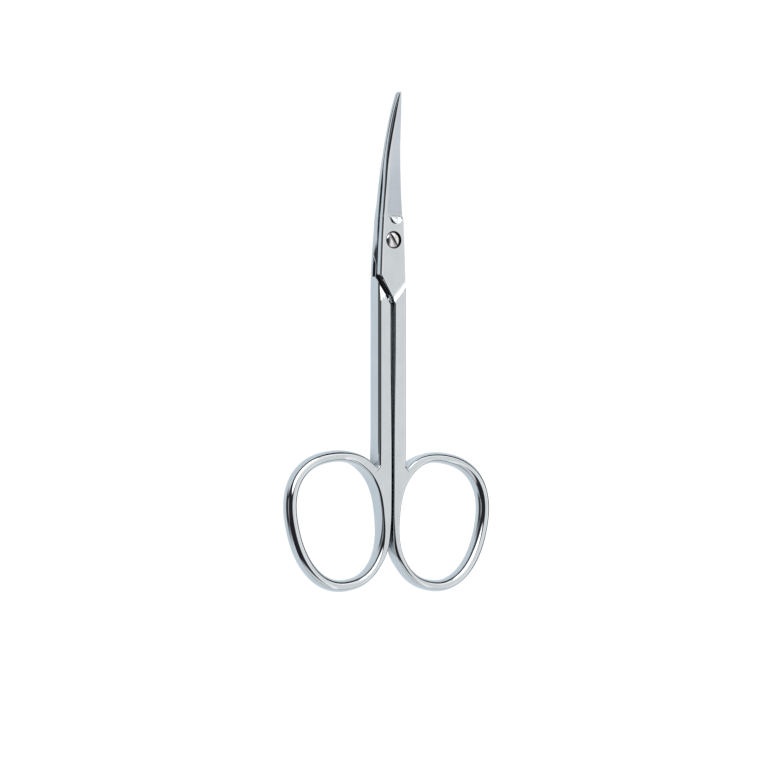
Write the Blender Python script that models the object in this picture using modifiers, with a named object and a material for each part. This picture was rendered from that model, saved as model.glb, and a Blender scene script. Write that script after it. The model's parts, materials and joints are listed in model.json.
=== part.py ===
# Manicure scissors: two forged halves with curved, ground blades, turning on a slotted screw.
# Metres. The scissors lie closed on their back: +Y runs to the tips, the blades curve up
# towards +Z, and the screw head is on top. The front half is the upper one, with the
# right-hand ring; the rear half is the lower one, with the left-hand ring.
#
# Each half is worked out in its own coordinates: the pivot on the Z axis, the mating plane
# at z = 0 with the plate above it, and the shank and ring on the +X side. The rear half is
# then turned over about the Y axis.

import math

import bmesh
import bpy
from mathutils import Matrix, Vector

MM = 0.001

# Joint plates and the screw through them
PLATE_THICKNESS = 1.35 * MM
BLADE_GAP = 0.12 * MM
PIVOT_HALF_WIDTH = 2.5 * MM
FREE_SIDE_HALF_WIDTH = 2.2 * MM
FREE_CORNER_HALF_WIDTH = 2.45 * MM
FREE_CORNER_BELOW_PIVOT = 6.3 * MM
PLATE_POINT_BELOW_PIVOT = 10.5 * MM
PLATE_CHAMFER = 0.12 * MM
FREE_SIDE_CHAMFER = 0.25 * MM
# The screw sits this far to the right of the middle of the plates, blades and shanks
SCREW_OFFSET = 0.28 * MM
# Places of the loft's sections, as shares of the length of each stretch of the plate
POINT_STATION_SHARES = (1.0, 0.86, 0.72)
FREE_SIDE_STATION_SHARES = (1.0, 0.66, 0.33, 0.0)
HEEL_STATION_SHARES = (0.35, 0.7, 0.97)
# Places of the outline's points down the outer side of the shank, from shoulder to step
SHOULDER_STATION_SHARES = (0.0, 0.35, 0.7, 1.0)

# Shoulder of each shank beside the other half's plate, and the step down to its own plate
SHOULDER_CLEARANCE = 0.55 * MM
SHOULDER_SLOPE = math.radians(22.0)
STEP_TOP_BELOW_PIVOT = 8.5 * MM
STEP_FOOT_BELOW_PIVOT = 11.6 * MM
STEP_FILLET = 1.4 * MM
STEP_FILLET_SEGMENTS = 5

# Screw, and the hole and head seat that are cut for it
SCREW_SHAFT_RADIUS = 0.95 * MM
SCREW_HEAD_RADIUS = 1.4 * MM
SCREW_HEAD_THICKNESS = 0.52 * MM
SCREW_HEAD_SUNK = 0.16 * MM
SCREW_DOME_HEIGHT = 0.14 * MM
SCREW_DOME_STEPS = 5
SCREW_SLOT_WIDTH = 0.48 * MM
SCREW_SLOT_DEPTH = 0.4 * MM
SCREW_SLOT_TURN = math.radians(52.0)
SCREW_TAIL_RECESS = 0.05 * MM
SCREW_TAIL_CHAMFER = 0.15 * MM
RUNNING_CLEARANCE = 0.06 * MM
HEAD_SIDE_CLEARANCE = 0.2 * MM

# Blades
PIVOT_TO_HEEL = 4.0 * MM
PIVOT_TO_TIP = 26.6 * MM
HEEL_HALF_WIDTH = 2.12 * MM
FRONT_EDGE_EXTRA = 0.25 * MM
REAR_EDGE_EXTRA = 0.14 * MM
TIP_TO_THE_RIGHT = 0.15 * MM
SPINE_TIP_THICKNESS = 0.78 * MM
EDGE_TIP_THICKNESS = 0.3 * MM
HEEL_EDGE_STEP = 0.2 * MM
HONE_WIDTH = 0.2 * MM
LAND_WIDTH = 0.5 * MM
TIP_RADIUS = 0.3 * MM
# Width left at the very end of the rounded tip
TIP_END_SHARE = 0.5
CURVE_START_RADIUS = 4.0 * MM
TIP_RISE = 3.3 * MM
# Along the blade from heel to tip: half width as a share of the heel's half width
BLADE_HALF_WIDTH_SHARES = (
    (0.0, 1.0), (0.1, 0.93), (0.2, 0.865), (0.4, 0.735), (0.6, 0.575), (0.8, 0.385),
    (0.9, 0.27), (1.0, 0.11),
)
BLADE_STATIONS = 18

# Scoop that the grinding wheel leaves at the heel of each blade
SCOOP_RADIUS = 2.0 * MM
SCOOP_DEPTH = 0.3 * MM
SCOOP_ABOVE_PIVOT = 3.85 * MM
SCOOP_TILT = math.radians(6.3)

# Shanks
SHANK_THICKNESS = 3.75 * MM
FRONT_OUTER_SIDE = 2.7 * MM
REAR_OUTER_SIDE = 2.98 * MM
FRONT_GAP_SIDE = 0.16 * MM
REAR_GAP_SIDE = 0.22 * MM
HANDLE_SHIFT = 0.22 * MM
SHANK_CORNER_RADIUS = 0.4 * MM
SHANK_CORNER_SEGMENTS = 3
SHANK_TAPER_ABOVE_RING_CENTRE = 7.3 * MM
SHANK_END_ABOVE_RING_CENTRE = 0.3 * MM
SHANK_END_WIDTH = 1.3 * MM

# Finger rings: a rounded egg that leans, swept with a rounded section
RING_LIMB_FROM_MIDDLE = 0.99 * MM
RING_BELOW_PIVOT = 50.8 * MM
RING_HALF_WIDTH = 9.36 * MM
RING_HALF_LENGTH = 11.63 * MM
RING_LEAN = math.radians(9.2)
RING_SQUARENESS = 2.28
RING_EGG_SHARE = 0.086
RING_BAR_WIDTH = 2.2 * MM
RING_BAR_THICKNESS = 2.9 * MM
FRONT_RING_ROOT_WIDTH = 1.42 * MM
REAR_RING_ROOT_WIDTH = 1.8 * MM
RING_ROOT_THICKNESS = 3.6 * MM
RING_SECTION_SQUARENESS = 2.2
RING_STATIONS = 56
RING_SECTION_POINTS = 12

# Every cut runs this far past the metal
OVERRUN = 2.0 * MM
TURNED_STEPS = 32
MERGE_DISTANCE = 0.001 * MM
SMOOTH_ANGLE = math.radians(32.0)

# Plated steel as the photograph shows it
STEEL_COLOUR = (0.74, 0.76, 0.78, 1.0)
SCREW_COLOUR = (0.78, 0.76, 0.74, 1.0)
STEEL_ROUGHNESS = 0.16
SCREW_ROUGHNESS = 0.2

MATING_HEIGHT = BLADE_GAP / 2
PLATE_TOP = MATING_HEIGHT + PLATE_THICKNESS
SHANK_TOP = SHANK_THICKNESS / 2
RING_FROM_MIDDLE = RING_LIMB_FROM_MIDDLE + RING_HALF_WIDTH
SHANK_TAPER_BELOW_PIVOT = RING_BELOW_PIVOT - SHANK_TAPER_ABOVE_RING_CENTRE
SHANK_END_BELOW_PIVOT = RING_BELOW_PIVOT - SHANK_END_ABOVE_RING_CENTRE

# What differs between the halves. The handles sit a little to the left of the plates, and
# the plates to the left of the screw, so each shift counts towards the gap on one half and
# away from it on the other.
FRONT = {
    "side": 1,
    "from_screw": -SCREW_OFFSET,
    "inner": FRONT_GAP_SIDE,
    "other_inner": REAR_GAP_SIDE,
    "outer": FRONT_OUTER_SIDE,
    "edge_extra": FRONT_EDGE_EXTRA,
    "ring_x": RING_FROM_MIDDLE - HANDLE_SHIFT,
    "root_width": FRONT_RING_ROOT_WIDTH,
}
REAR = {
    "side": -1,
    "from_screw": SCREW_OFFSET,
    "inner": REAR_GAP_SIDE,
    "other_inner": FRONT_GAP_SIDE,
    "outer": REAR_OUTER_SIDE,
    "edge_extra": REAR_EDGE_EXTRA,
    "ring_x": RING_FROM_MIDDLE + HANDLE_SHIFT,
    "root_width": REAR_RING_ROOT_WIDTH,
}


# Scene set-up and materials
def clear_scene():
    for item in list(bpy.data.objects):
        bpy.data.objects.remove(item, do_unlink=True)


def steel(name, colour, roughness):
    material = bpy.data.materials.new(name)
    material.use_nodes = True
    shader = material.node_tree.nodes["Principled BSDF"]
    shader.inputs["Base Color"].default_value = colour
    shader.inputs["Metallic"].default_value = 1.0
    shader.inputs["Roughness"].default_value = roughness
    material.diffuse_color = colour
    return material


# Mesh helpers
def mesh_object(name, bm, collection):
    bmesh.ops.recalc_face_normals(bm, faces=bm.faces)
    mesh = bpy.data.meshes.new(name)
    bm.to_mesh(mesh)
    bm.free()
    item = bpy.data.objects.new(name, mesh)
    collection.objects.link(item)
    return item


def extruded_outline(name, points, thickness, collection):
    """A closed flat outline in XY, extruded evenly to both sides of z = 0."""
    curve = bpy.data.curves.new(name, "CURVE")
    curve.dimensions = "2D"
    curve.fill_mode = "BOTH"
    curve.extrude = thickness / 2
    spline = curve.splines.new("POLY")
    spline.points.add(len(points) - 1)
    for point, (x, y) in zip(spline.points, points):
        point.co = (x, y, 0.0, 1.0)
    spline.use_cyclic_u = True
    drawn = bpy.data.objects.new(name, curve)
    collection.objects.link(drawn)
    bpy.context.view_layer.update()
    evaluated = drawn.evaluated_get(bpy.context.evaluated_depsgraph_get())
    mesh = bpy.data.meshes.new_from_object(evaluated)
    bm = bmesh.new()
    bm.from_mesh(mesh)
    bmesh.ops.remove_doubles(bm, verts=bm.verts, dist=MERGE_DISTANCE)
    bpy.data.objects.remove(drawn, do_unlink=True)
    bpy.data.meshes.remove(mesh)
    return mesh_object(name, bm, collection)


def loft(name, sections, collection, closed=False):
    """Skin a row of sections that have the same number of points each."""
    bm = bmesh.new()
    rows = [[bm.verts.new(point) for point in section] for section in sections]
    count = len(rows[0])
    pairs = list(zip(rows, rows[1:]))
    if closed:
        pairs.append((rows[-1], rows[0]))
    for low, high in pairs:
        for i in range(count):
            j = (i + 1) % count
            bm.faces.new((low[i], low[j], high[j], high[i]))
    if not closed:
        bm.faces.new(rows[0])
        bm.faces.new(rows[-1])
    return mesh_object(name, bm, collection)


def turned(name, profile, collection):
    """Turn a profile of (radius, height) points, listed from top to bottom, about Z."""
    bm = bmesh.new()
    verts = [bm.verts.new((radius, 0.0, height)) for radius, height in profile]
    for first, second in zip(verts, verts[1:]):
        bm.edges.new((first, second))
    mesh = bpy.data.meshes.new(name)
    bm.to_mesh(mesh)
    bm.free()
    item = bpy.data.objects.new(name, mesh)
    collection.objects.link(item)
    screw = item.modifiers.new("Turn", "SCREW")
    screw.steps = TURNED_STEPS
    screw.render_steps = TURNED_STEPS
    screw.use_merge_vertices = True
    screw.merge_threshold = MERGE_DISTANCE
    return item


def combine(item, other, operation):
    """Join or cut item with other, which is used up."""
    modifier = item.modifiers.new(operation.title(), "BOOLEAN")
    modifier.operation = operation
    modifier.solver = "EXACT"
    modifier.object = other
    bpy.context.view_layer.update()
    evaluated = item.evaluated_get(bpy.context.evaluated_depsgraph_get())
    mesh = bpy.data.meshes.new_from_object(evaluated)
    item.modifiers.clear()
    item.data = mesh
    bpy.data.objects.remove(other, do_unlink=True)


def interpolate(table, share):
    """Smooth curve through a table of (place, value) shares, without overshoot at the ends."""
    places = [row[0] for row in table]
    values = [row[1] for row in table]
    last = len(table) - 1
    slopes = []
    for i in range(len(table)):
        low = max(i - 1, 0)
        high = min(i + 1, last)
        slopes.append((values[high] - values[low]) / (places[high] - places[low]))
    index = 0
    while index < last - 1 and share > places[index + 1]:
        index += 1
    span = places[index + 1] - places[index]
    u = (share - places[index]) / span
    start = (2 * u**3 - 3 * u**2 + 1) * values[index] + (u**3 - 2 * u**2 + u) * span * slopes[index]
    end = (3 * u**2 - 2 * u**3) * values[index + 1] + (u**3 - u**2) * span * slopes[index + 1]
    return start + end


# Blade and joint plate
def rise(x, y):
    """Height of the curved mating face. It depends on the distance from the pivot alone,
    so the two blades stay in step as they turn."""
    radius = math.hypot(x, y)
    if y <= 0.0 or radius <= CURVE_START_RADIUS:
        return 0.0
    return TIP_RISE * ((radius - CURVE_START_RADIUS) / (PIVOT_TO_TIP - CURVE_START_RADIUS)) ** 2


def shank_side(y, half):
    """Edge of the plate on the side that carries the shank."""
    if y >= 0.0:
        share = math.sin(math.pi / 2 * y / PIVOT_TO_HEEL)
        heel_side = HEEL_HALF_WIDTH + half["edge_extra"]
        return PIVOT_HALF_WIDTH + (heel_side - PIVOT_HALF_WIDTH) * share
    share = math.sin(math.pi / 2 * min(-y / STEP_TOP_BELOW_PIVOT, 1.0))
    return PIVOT_HALF_WIDTH + (half["outer"] - PIVOT_HALF_WIDTH) * share


def free_side(y, point_x):
    """Edge of the plate on the other side, down to the plate's point."""
    if y >= 0.0:
        return -FREE_SIDE_HALF_WIDTH + (FREE_SIDE_HALF_WIDTH - HEEL_HALF_WIDTH) * y / PIVOT_TO_HEEL
    if y >= -FREE_CORNER_BELOW_PIVOT:
        share = -y / FREE_CORNER_BELOW_PIVOT
        return -FREE_SIDE_HALF_WIDTH - (FREE_CORNER_HALF_WIDTH - FREE_SIDE_HALF_WIDTH) * share
    share = (-y - FREE_CORNER_BELOW_PIVOT) / (PLATE_POINT_BELOW_PIVOT - FREE_CORNER_BELOW_PIVOT)
    return -FREE_CORNER_HALF_WIDTH + (point_x + FREE_CORNER_HALF_WIDTH) * share


def blade_section(y):
    """Half width of the blade, and its thickness at the spine and at the edge."""
    share = (y - PIVOT_TO_HEEL) / (PIVOT_TO_TIP - PIVOT_TO_HEEL)
    half_width = HEEL_HALF_WIDTH * interpolate(BLADE_HALF_WIDTH_SHARES, share)
    from_tip = PIVOT_TO_TIP - y
    if from_tip < TIP_RADIUS:
        rounding = (1.0 - TIP_END_SHARE**2) * (1.0 - from_tip / TIP_RADIUS) ** 2
        half_width *= math.sqrt(1.0 - rounding)
    heel_edge = PLATE_THICKNESS - HEEL_EDGE_STEP
    spine = PLATE_THICKNESS + (SPINE_TIP_THICKNESS - PLATE_THICKNESS) * share
    edge = heel_edge + (EDGE_TIP_THICKNESS - heel_edge) * share
    return half_width, spine, edge


def plate_and_blade(name, half, collection):
    """One loft from the plate's point up to the tip: six points a section."""
    side = half["side"]
    shift = half["from_screw"]
    stations = [-PLATE_POINT_BELOW_PIVOT * share for share in POINT_STATION_SHARES]
    stations += [-FREE_CORNER_BELOW_PIVOT * share for share in FREE_SIDE_STATION_SHARES]
    stations += [PIVOT_TO_HEEL * share for share in HEEL_STATION_SHARES]
    sections = []
    for y in stations:
        free = free_side(y, half["inner"])
        carried = shank_side(y, half)
        if -y > FREE_CORNER_BELOW_PIVOT:
            carried -= SHANK_CORNER_RADIUS
        top = PLATE_TOP
        low = MATING_HEIGHT
        section = (
            (free, low), (carried, low), (carried, top - PLATE_CHAMFER),
            (carried - PLATE_CHAMFER, top), (free + FREE_SIDE_CHAMFER, top),
            (free, top - FREE_SIDE_CHAMFER),
        )
        sections.append([Vector((x, y, z + side * rise(x + shift, y))) for x, z in section])
    for step in range(BLADE_STATIONS + 1):
        share = step / BLADE_STATIONS
        y = PIVOT_TO_HEEL + (PIVOT_TO_TIP - PIVOT_TO_HEEL) * math.sin(math.pi / 2 * share)
        half_width, spine, edge = blade_section(y)
        tip_scale = half_width / HEEL_HALF_WIDTH
        lean = side * TIP_TO_THE_RIGHT * (1.0 - tip_scale)
        spine_x = lean - half_width
        edge_x = lean + half_width + half["edge_extra"] * tip_scale
        low = MATING_HEIGHT
        section = (
            (spine_x, low), (edge_x, low), (edge_x - HONE_WIDTH * tip_scale, low + edge),
            (spine_x + (FREE_SIDE_CHAMFER + LAND_WIDTH) * tip_scale, low + spine),
            (spine_x + FREE_SIDE_CHAMFER * tip_scale, low + spine),
            (spine_x, low + spine - FREE_SIDE_CHAMFER),
        )
        sections.append([Vector((x, y, z + side * rise(x + shift, y))) for x, z in section])
    return loft(name, sections, collection)


# Shank
def shoulder_line(half, clearance):
    """Where the slanted end of the shank starts and stops across the shank, a clearance away
    from the lower edge of the other half's plate."""
    run = FREE_CORNER_HALF_WIDTH + half["other_inner"]
    drop = PLATE_POINT_BELOW_PIVOT - FREE_CORNER_BELOW_PIVOT
    slope = drop / run
    offset = clearance * math.hypot(run, drop) / run
    corner = -FREE_CORNER_BELOW_PIVOT - offset
    return (corner + slope * (half["inner"] - FREE_CORNER_HALF_WIDTH),
            corner + slope * (half["outer"] - FREE_CORNER_HALF_WIDTH))


def shank(name, half, collection):
    """Rounded bar from the shoulder beside the other half's plate down into the ring."""
    inner = half["inner"]
    outer = half["outer"]
    shoulder_inner, shoulder_outer = shoulder_line(half, 0.0)
    points = [(inner, shoulder_inner)]
    for share in SHOULDER_STATION_SHARES:
        y = shoulder_outer - (shoulder_outer + STEP_TOP_BELOW_PIVOT) * share
        points.append((shank_side(y, half), y))
    points += [
        (outer, -SHANK_TAPER_BELOW_PIVOT), (inner + SHANK_END_WIDTH, -SHANK_END_BELOW_PIVOT),
        (inner, -SHANK_END_BELOW_PIVOT),
    ]
    bar = extruded_outline(name, points, SHANK_THICKNESS, collection)
    bm = bmesh.new()
    bm.from_mesh(bar.data)
    rims = [edge for edge in bm.edges
            if abs(edge.verts[0].co.z - edge.verts[1].co.z) < MERGE_DISTANCE
            and edge.calc_face_angle(0.0) > SMOOTH_ANGLE]
    bmesh.ops.bevel(bm, geom=rims, offset=SHANK_CORNER_RADIUS, segments=SHANK_CORNER_SEGMENTS,
                    profile=0.5, affect="EDGES")
    bm.to_mesh(bar.data)
    bm.free()
    return bar


def slanted_cutter(name, profile, half, inner_y, outer_y, collection):
    """Sweeps a profile of (across, up) points along a slanted line over the shank."""
    cutter = extruded_outline(name, profile, 2 * (SHANK_THICKNESS + OVERRUN), collection)
    along = Vector((half["outer"] - half["inner"], outer_y - inner_y, 0.0)).normalized()
    up = Vector((0.0, 0.0, 1.0))
    across = up.cross(along)
    turn = Matrix((across, up, across.cross(up))).transposed().to_4x4()
    cutter.data.transform(Matrix.Translation((half["outer"], outer_y, 0.0)) @ turn)
    return cutter


def shoulder_cutter(name, half, collection):
    """Frees the other half's plate: all below the mating face, with a sloping shoulder."""
    reach = 2 * (PIVOT_HALF_WIDTH + OVERRUN)
    bottom = -SHANK_TOP - OVERRUN
    run = (MATING_HEIGHT - bottom) * math.tan(SHOULDER_SLOPE)
    profile = ((reach, MATING_HEIGHT), (0.0, MATING_HEIGHT), (-run, bottom), (reach, bottom))
    inner_y, outer_y = shoulder_line(half, SHOULDER_CLEARANCE)
    return slanted_cutter(name, profile, half, inner_y, outer_y, collection)


def step_cutter(name, half, collection):
    """Clears the metal over the joint plate, down to the plate's face. The round-nosed cutter
    leaves a hollow that meets the plate without an edge."""
    reach = 2 * (PIVOT_HALF_WIDTH + OVERRUN)
    height = SHANK_TOP - PLATE_TOP
    bend = math.acos(1.0 - height / STEP_FILLET)
    profile = [(reach, SHANK_TOP + OVERRUN), (0.0, SHANK_TOP + OVERRUN)]
    for step in range(STEP_FILLET_SEGMENTS + 1):
        angle = bend * (1.0 - step / STEP_FILLET_SEGMENTS)
        profile.append((STEP_FILLET * (math.sin(bend) - math.sin(angle)),
                        PLATE_TOP + STEP_FILLET * (1.0 - math.cos(angle))))
    profile.append((reach, PLATE_TOP))
    return slanted_cutter(name, profile, half, -STEP_FOOT_BELOW_PIVOT, -STEP_TOP_BELOW_PIVOT, collection)


# Finger ring
def ring_point(angle, centre_x):
    """Centre line of the ring: a superellipse, fuller near the shank, leaning outwards."""
    cosine = math.cos(angle)
    sine = math.sin(angle)
    squareness = RING_SQUARENESS
    reach = (abs(cosine / RING_HALF_WIDTH) ** squareness
             + abs(sine / RING_HALF_LENGTH) ** squareness) ** (-1 / squareness)
    along = reach * sine
    across = reach * cosine * (1.0 + RING_EGG_SHARE * along / RING_HALF_LENGTH)
    x = across * math.cos(RING_LEAN) + along * math.sin(RING_LEAN)
    y = along * math.cos(RING_LEAN) - across * math.sin(RING_LEAN)
    return Vector((centre_x + x, y - RING_BELOW_PIVOT, 0.0))


def ring(name, half, collection):
    """The bar is thickest and narrowest where it runs beside the gap."""
    centre_x = half["ring_x"]
    sections = []
    for i in range(RING_STATIONS):
        angle = math.tau * i / RING_STATIONS
        step = math.tau / RING_STATIONS / 4
        centre = ring_point(angle, centre_x)
        tangent = (ring_point(angle + step, centre_x) - ring_point(angle - step, centre_x)).normalized()
        outward = Vector((tangent.y, -tangent.x, 0.0))
        root_share = ((1.0 - math.cos(angle)) / 2) ** 2
        thickness = RING_BAR_THICKNESS + (RING_ROOT_THICKNESS - RING_BAR_THICKNESS) * root_share
        width = RING_BAR_WIDTH + (half["root_width"] - RING_BAR_WIDTH) * root_share
        section = []
        for k in range(RING_SECTION_POINTS):
            turn = math.tau * (k + 0.5) / RING_SECTION_POINTS
            power = 2.0 / RING_SECTION_SQUARENESS
            wide = math.copysign(abs(math.cos(turn)) ** power, math.cos(turn)) * width / 2
            high = math.copysign(abs(math.sin(turn)) ** power, math.sin(turn)) * thickness / 2
            section.append(centre + outward * wide + Vector((0.0, 0.0, high)))
        sections.append(section)
    return loft(name, sections, collection, closed=True)


# Cutters for the screw and the grinding wheel
def hole_cutter(name, with_head_seat, collection):
    radius = SCREW_SHAFT_RADIUS + RUNNING_CLEARANCE
    top = PLATE_TOP + OVERRUN
    bottom = -OVERRUN
    if not with_head_seat:
        return turned(name, ((0.0, top), (radius, top), (radius, bottom), (0.0, bottom)), collection)
    seat_radius = SCREW_HEAD_RADIUS + HEAD_SIDE_CLEARANCE
    seat = PLATE_TOP - seat_depth()
    profile = (
        (0.0, top), (seat_radius, top), (seat_radius, seat), (radius, seat),
        (radius, bottom), (0.0, bottom),
    )
    return turned(name, profile, collection)


def seat_depth():
    return SCREW_HEAD_THICKNESS + SCREW_HEAD_SUNK + RUNNING_CLEARANCE


def scoop_cutter(name, collection):
    bpy.ops.mesh.primitive_cylinder_add(
        vertices=TURNED_STEPS * 2, radius=SCOOP_RADIUS, depth=2 * (PIVOT_HALF_WIDTH + OVERRUN))
    cutter = bpy.context.active_object
    cutter.name = name
    for owner in list(cutter.users_collection):
        owner.objects.unlink(cutter)
    collection.objects.link(cutter)
    axis_height = PLATE_TOP + SCOOP_RADIUS - SCOOP_DEPTH
    place = Matrix.Translation((HEEL_HALF_WIDTH, SCOOP_ABOVE_PIVOT, axis_height))
    tilt = Matrix.Rotation(SCOOP_TILT, 4, "Y")
    cutter.data.transform(place @ tilt @ Matrix.Rotation(math.pi / 2, 4, "Y"))
    return cutter


# The three pieces
def build_half(name, half, material, parts, cutters):
    piece = shank(name, half, parts)
    combine(piece, step_cutter("step_cutter", half, cutters), "DIFFERENCE")
    combine(piece, shoulder_cutter("shoulder_cutter", half, cutters), "DIFFERENCE")
    combine(piece, plate_and_blade("blade_blank", half, cutters), "UNION")
    combine(piece, ring("ring_blank", half, cutters), "UNION")
    combine(piece, scoop_cutter("scoop_cutter", cutters), "DIFFERENCE")
    piece.data.transform(Matrix.Translation((half["from_screw"], 0.0, 0.0)))
    combine(piece, hole_cutter("hole_cutter", half is FRONT, cutters), "DIFFERENCE")
    bm = bmesh.new()
    bm.from_mesh(piece.data)
    bmesh.ops.remove_doubles(bm, verts=bm.verts, dist=MERGE_DISTANCE)
    bm.to_mesh(piece.data)
    bm.free()
    finish(piece, material)
    if half is REAR:
        piece.rotation_euler.y = math.pi
    return piece


def finish(piece, material):
    piece.data.materials.clear()
    piece.data.materials.append(material)
    piece.data.shade_smooth()
    piece.data.set_sharp_from_angle(angle=SMOOTH_ANGLE)


def build_screw(name, material, parts, cutters):
    head_top = PLATE_TOP - SCREW_HEAD_SUNK
    head_seat = head_top - SCREW_HEAD_THICKNESS
    tail = -PLATE_TOP + SCREW_TAIL_RECESS
    profile = [(0.0, head_top + SCREW_DOME_HEIGHT)]
    for step in range(1, SCREW_DOME_STEPS + 1):
        angle = math.pi / 2 * step / SCREW_DOME_STEPS
        profile.append((SCREW_HEAD_RADIUS * math.sin(angle),
                        head_top + SCREW_DOME_HEIGHT * math.cos(angle)))
    profile += [
        (SCREW_HEAD_RADIUS, head_seat), (SCREW_SHAFT_RADIUS, head_seat),
        (SCREW_SHAFT_RADIUS, tail + SCREW_TAIL_CHAMFER),
        (SCREW_SHAFT_RADIUS - SCREW_TAIL_CHAMFER, tail), (0.0, tail),
    ]
    screw = turned(name, profile, parts)
    bpy.ops.mesh.primitive_cube_add(size=1.0)
    slot = bpy.context.active_object
    slot.name = "slot_cutter"
    for owner in list(slot.users_collection):
        owner.objects.unlink(slot)
    cutters.objects.link(slot)
    height = SCREW_SLOT_DEPTH + OVERRUN
    size = Matrix.Diagonal((2 * (SCREW_HEAD_RADIUS + OVERRUN), SCREW_SLOT_WIDTH, height, 1.0))
    centre = head_top + SCREW_DOME_HEIGHT - SCREW_SLOT_DEPTH + height / 2
    place = Matrix.Translation((0.0, 0.0, centre)) @ Matrix.Rotation(-SCREW_SLOT_TURN, 4, "Z")
    slot.data.transform(place @ size)
    combine(screw, slot, "DIFFERENCE")
    finish(screw, material)
    return screw


def build():
    clear_scene()
    parts = bpy.data.collections.new("manicure_scissors")
    cutters = bpy.data.collections.new("cutters")
    bpy.context.scene.collection.children.link(parts)
    bpy.context.scene.collection.children.link(cutters)
    plated = steel("plated_steel", STEEL_COLOUR, STEEL_ROUGHNESS)
    screw_steel = steel("screw_steel", SCREW_COLOUR, SCREW_ROUGHNESS)
    front = build_half("front_half", FRONT, plated, parts, cutters)
    rear = build_half("rear_half", REAR, plated, parts, cutters)
    screw = build_screw("pivot_screw", screw_steel, parts, cutters)
    pivot = bpy.data.objects.new("pivot", None)
    parts.objects.link(pivot)
    for piece in (front, rear, screw):
        piece.parent = pivot
    bpy.context.view_layer.update()
    corners = [piece.matrix_world @ vert.co for piece in (front, rear) for vert in piece.data.vertices]
    low = Vector([min(corner[i] for corner in corners) for i in range(3)])
    high = Vector([max(corner[i] for corner in corners) for i in range(3)])
    pivot.location = (-(low.x + high.x) / 2, -(low.y + high.y) / 2, -low.z)
    bpy.context.view_layer.update()
    print("pivot axis at", [round(value, 7) for value in pivot.location])
    print("size", [round(value, 6) for value in high - low])


build()
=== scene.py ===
import json
import math

import bmesh
import bpy
from mathutils import Matrix, Vector


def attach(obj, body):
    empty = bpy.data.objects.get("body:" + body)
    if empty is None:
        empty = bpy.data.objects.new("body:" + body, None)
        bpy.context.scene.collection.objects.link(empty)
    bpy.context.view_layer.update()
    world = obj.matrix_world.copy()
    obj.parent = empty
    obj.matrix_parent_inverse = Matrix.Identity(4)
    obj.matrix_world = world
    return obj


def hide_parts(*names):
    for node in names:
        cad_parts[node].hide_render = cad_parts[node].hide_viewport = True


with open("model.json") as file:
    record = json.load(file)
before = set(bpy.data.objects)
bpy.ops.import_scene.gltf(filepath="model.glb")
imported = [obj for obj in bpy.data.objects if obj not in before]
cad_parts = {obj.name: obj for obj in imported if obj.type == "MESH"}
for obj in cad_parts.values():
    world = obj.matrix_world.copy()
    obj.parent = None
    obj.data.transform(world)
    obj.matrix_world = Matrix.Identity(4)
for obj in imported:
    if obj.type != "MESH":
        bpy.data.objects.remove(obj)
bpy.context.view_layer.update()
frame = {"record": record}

MM = 0.001
pivot = Vector(frame["record"]["behaviour"]["joints"][0]["pos_m"])


# Forging: shank and finger ring
# Each half starts as one drop-forged bar of carbon steel. Its lower end is drawn out, bent
# round and welded shut into an egg-shaped ring that leans outwards, then ground and polished.
shank_half_thickness = 1.875 * MM
shank_corner = 0.45 * MM
root_corner = 0.17 * MM
crotch_fillet = 0.3 * MM
crotch_corner_share = 0.8
shank_foot_above_crotch = 2.2 * crotch_fillet
shoulder_top = 6.3 * MM
shoulder_foot = 10.5 * MM
shoulder_reach = 2.45 * MM
pivot_half_width = 2.5 * MM
heel_half_width = 2.12 * MM
heel = 4.0 * MM
step_top = 8.5 * MM
step_foot = 11.6 * MM
# Stretches down the shank, as shares of its length, over which its slanted end straightens,
# its outer corner and its gap corner reach their size, and its gap side comes in
slant_fades = (0.0, 0.3)
outer_corner_settles = (0.8, 1.0)
gap_corner_settles = (0.1, 0.9)
gap_relief_fades = (0.3, 1.0)

ring_below_pivot = 50.77 * MM
ring_half_width = 9.31 * MM
ring_half_length = 11.6 * MM
ring_lean = math.radians(9.2)
ring_squareness = 2.28
ring_egg_share = 0.086
bar_half_width = 1.1 * MM
bar_half_thickness = 1.45 * MM
root_half_thickness = 1.8 * MM
bar_corner_share = 0.95
# Angles round the ring, in degrees, over which the bar goes flat and back to round, and
# goes to the shank's thickness and back to its own
flat_grows, flat_fades = (98, 128), (178, 232)
thick_grows, thick_fades = (100, 140), (150, 185)
crotch_between = (math.radians(95), math.radians(170))

ring_stations = 200
shank_stations = 44
corner_points = 12
fillet_steps = 8
crown_shares = (0.0, 0.35, 0.7)
# Stations of the ring that ease from the straight gap side to the round bar, the last ones
# of the ring, which may lie behind the crotch's fillet, and a point on a rail's corner
easing_stations = 24
stations_by_crotch = 6
point_of_corner = 10

# The two forgings are the same but for a few widths, so both are drawn as the right-hand
# one, with the faces that meet at z = 0, and are moved sideways to the screw at the end.
# inner and outer are the shank's sides, other_foot is where the other half's plate ends,
# root is half the bar's width beside the shank, from_screw is how far the plates' middle
# is from the screw, edge_extra is what the blade's edge stands out, wall_rounding is for
# the outer corner beside the step, and gap_corner and gap_relief are for the gap's top
right_forging = {"side": 1, "inner": 0.06 * MM, "outer": 2.7 * MM, "other_foot": 0.22 * MM,
                 "ring_x": 10.08 * MM, "root": 0.71 * MM, "from_screw": -0.28 * MM,
                 "edge_extra": 0.25 * MM, "wall_rounding": 0.4 * MM, "gap_corner": 0.3 * MM,
                 "gap_relief": 0.16 * MM}
left_forging = {"side": -1, "inner": 0.4 * MM, "outer": 2.98 * MM, "other_foot": 0.16 * MM,
                "ring_x": 10.52 * MM, "root": 0.9 * MM, "from_screw": 0.28 * MM,
                "edge_extra": 0.14 * MM, "wall_rounding": 1.0 * MM, "gap_corner": 0.14 * MM,
                "gap_relief": 0.22 * MM}


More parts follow.
